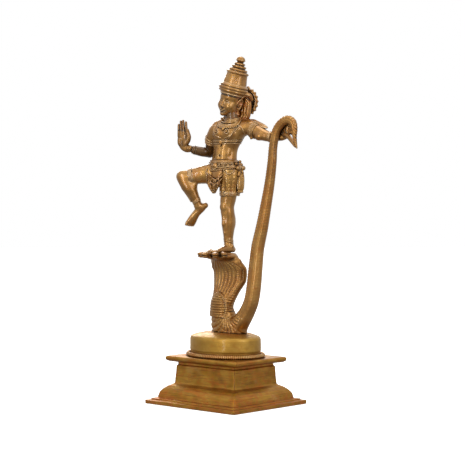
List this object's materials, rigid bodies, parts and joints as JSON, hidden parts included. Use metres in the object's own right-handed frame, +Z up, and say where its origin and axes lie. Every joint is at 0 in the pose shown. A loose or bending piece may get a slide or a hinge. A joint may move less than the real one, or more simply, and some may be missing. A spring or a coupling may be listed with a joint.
{
  "type": "cast brass icon of a child dancer on a cobra",
  "caption": "Cast figure dancing on one foot on a many-headed cobra's hood and holding its tail, on an oval drum and a moulded rectangular pedestal.",
  "frame": {"origin": "centre of the pedestal's flat underside", "axes": "+Z up, -Y the front that the figure faces, +X towards the figure's left hand and the serpent's tail"},
  "size_m": [0.1332, 0.094, 0.3019],
  "materials": {
    "pedestal_brass": "hand-filed brass with horizontal file streaks and an ochre brown patina, reddish in the corners",
    "drum_brass": "smoother, yellower filed brass",
    "serpent_bronze": "satin brown-red patina with chased scales, darker in the grooves",
    "figure_bronze": "burnished brown-gold bronze with dark and orange residue in the crevices"
  },
  "bodies": {
    "root": {"pedestal": "pedestal_brass", "bead_ring": "drum_brass", "drum": "drum_brass", "serpent_coil": "serpent_bronze", "serpent_hood": "serpent_bronze", "belly_shield": "serpent_bronze", "serpent_tail": "serpent_bronze", "tail_hook": "serpent_bronze", "standing_leg": "figure_bronze", "raised_leg": "figure_bronze", "short_dhoti": "figure_bronze", "torso": "figure_bronze", "right_arm": "figure_bronze", "right_hand": "figure_bronze", "left_arm": "figure_bronze", "left_hand": "figure_bronze", "head": "figure_bronze", "crown": "figure_bronze", "back_hair": "figure_bronze", "halo_wheel": "figure_bronze", "wheel_stem": "figure_bronze", "girdle": "figure_bronze", "front_tassel": "figure_bronze", "left_hip_knot": "figure_bronze", "right_hip_knot": "figure_bronze", "left_sash_fall": "figure_bronze", "knee_band": "figure_bronze", "hem_band": "figure_bronze", "chest_band": "figure_bronze", "necklace": "figure_bronze", "shoulder_crest": "figure_bronze", "right_armlet": "figure_bronze", "left_armlet": "figure_bronze", "right_bracelet": "figure_bronze", "left_bracelet": "figure_bronze", "standing_anklet": "figure_bronze", "raised_anklet": "figure_bronze", "left_earring": "figure_bronze", "right_earring": "figure_bronze", "cobra_head_1": "serpent_bronze", "cobra_head_2": "serpent_bronze", "cobra_head_3": "serpent_bronze", "cobra_head_4": "serpent_bronze", "cobra_head_5": "serpent_bronze"}
  },
  "joints": []
}
